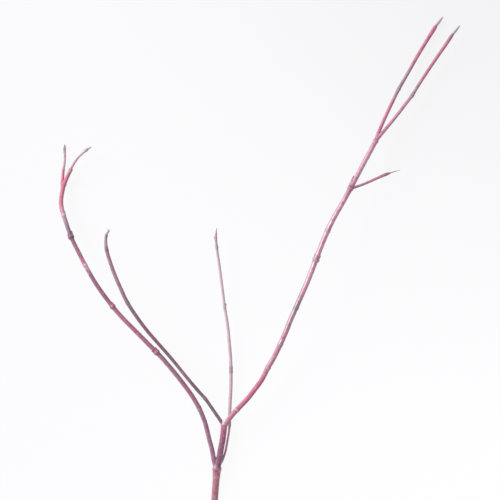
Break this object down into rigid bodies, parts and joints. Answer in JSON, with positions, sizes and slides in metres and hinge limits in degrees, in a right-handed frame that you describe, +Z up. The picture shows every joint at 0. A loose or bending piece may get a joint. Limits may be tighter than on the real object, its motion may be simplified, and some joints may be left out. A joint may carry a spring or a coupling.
{
  "type": "fallen tree branch",
  "caption": "Leafless forked shrub branch with smooth red-pink bark, opposite shoots, swollen leaf nodes and pointed end buds, lying as cut on a flat surface.",
  "frame": {"origin": "middle of the branch's bounding box, on the surface that it lies on", "axes": "+Y along the branch from the cut end to the shoot tips, +X to the right seen from above with the cut end nearest, +Z up from the surface"},
  "size_m": [0.3206, 0.3948, 0.0326],
  "materials": {
    "bark": "smooth satin bark, rose red to mauve, with pale lenticels and ring scars",
    "young_bark": "smooth satin bark of a thin young shoot, pale greyish pink",
    "bud_scale": "dull grey-brown bud scales with fine short down"
  },
  "bodies": {
    "root": {"lower_stem": "bark", "upper_stem": "bark", "left_limb": "bark", "left_twig": "bark", "left_spur": "bark", "inner_left_shoot": "bark", "upright_shoot": "young_bark", "right_limb": "bark", "side_twig": "bark", "tip_shoot_left": "bark", "tip_shoot_right": "bark", "bud_left_twig": "bud_scale", "bud_left_spur": "bud_scale", "bud_inner_left_shoot": "bud_scale", "bud_upright_shoot": "bud_scale", "bud_side_twig": "bud_scale", "bud_tip_shoot_left": "bud_scale", "bud_tip_shoot_right": "bud_scale"}
  },
  "joints": []
}
